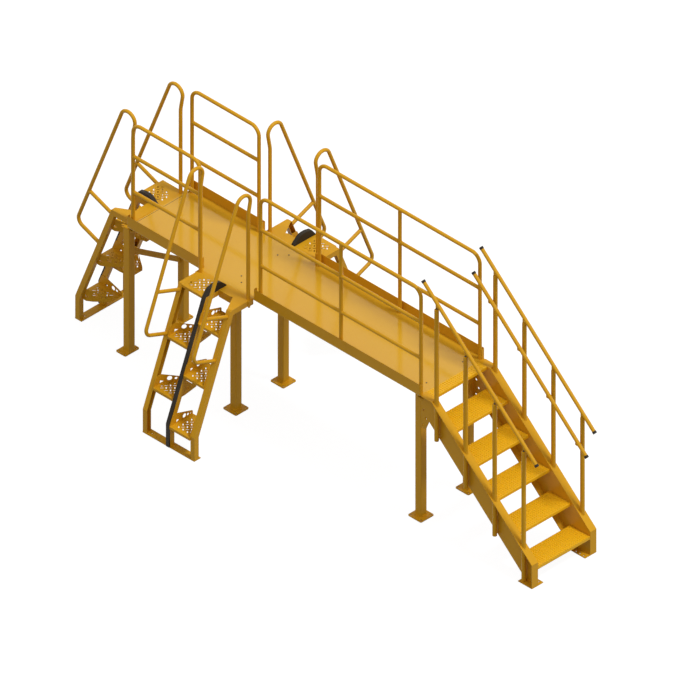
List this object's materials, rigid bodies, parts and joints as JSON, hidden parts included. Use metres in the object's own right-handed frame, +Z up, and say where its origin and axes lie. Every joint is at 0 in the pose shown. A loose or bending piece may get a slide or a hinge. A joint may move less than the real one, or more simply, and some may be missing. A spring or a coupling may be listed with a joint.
{
  "type": "crossover platform",
  "caption": "Raised walkway platform with an ordinary stair at one end, alternating tread stairs at the other end and both sides, tube guards and toe boards.",
  "frame": {"origin": "middle of the whole part's outline on the floor", "axes": "+X along the deck towards the ordinary stair, +Z up, -Y towards the near alternating tread stair"},
  "size_m": [5.5098, 2.163, 2.4867],
  "materials": {
    "yellow_paint": "gloss",
    "black_rubber": "satin"
  },
  "bodies": {
    "root": {"deck_plate": "yellow_paint", "deck_frame": "yellow_paint", "deck_nosing": "yellow_paint", "toe_board_front_left": "yellow_paint", "toe_board_front_right": "yellow_paint", "guard_front_left": "yellow_paint", "guard_front_right": "yellow_paint", "leg_left_front": "yellow_paint", "leg_middle_front": "yellow_paint", "leg_right_front": "yellow_paint", "stair_stringer_front": "yellow_paint", "stair_posts_front": "yellow_paint", "toe_board_rear_left": "yellow_paint", "toe_board_rear_right": "yellow_paint", "guard_rear_left": "yellow_paint", "guard_rear_right": "yellow_paint", "leg_left_rear": "yellow_paint", "leg_middle_rear": "yellow_paint", "leg_right_rear": "yellow_paint", "stair_stringer_rear": "yellow_paint", "stair_posts_rear": "yellow_paint", "left_leg_brace": "yellow_paint", "stair_treads": "yellow_paint", "stair_rails": "yellow_paint", "stair_handrail_lower": "yellow_paint", "front_stair_stringers": "yellow_paint", "front_stair_spine": "yellow_paint", "front_stair_treads": "yellow_paint", "front_stair_landing": "yellow_paint", "front_stair_handrails": "yellow_paint", "rear_stair_stringers": "yellow_paint", "rear_stair_spine": "yellow_paint", "rear_stair_treads": "yellow_paint", "rear_stair_landing": "yellow_paint", "rear_stair_handrails": "yellow_paint", "left_stair_stringers": "yellow_paint", "left_stair_spine": "yellow_paint", "left_stair_treads": "yellow_paint", "left_stair_landing": "yellow_paint", "left_stair_handrails": "yellow_paint", "rail_caps": "black_rubber", "front_stair_divider": "black_rubber", "rear_stair_divider": "black_rubber", "left_stair_divider": "black_rubber"}
  },
  "joints": []
}
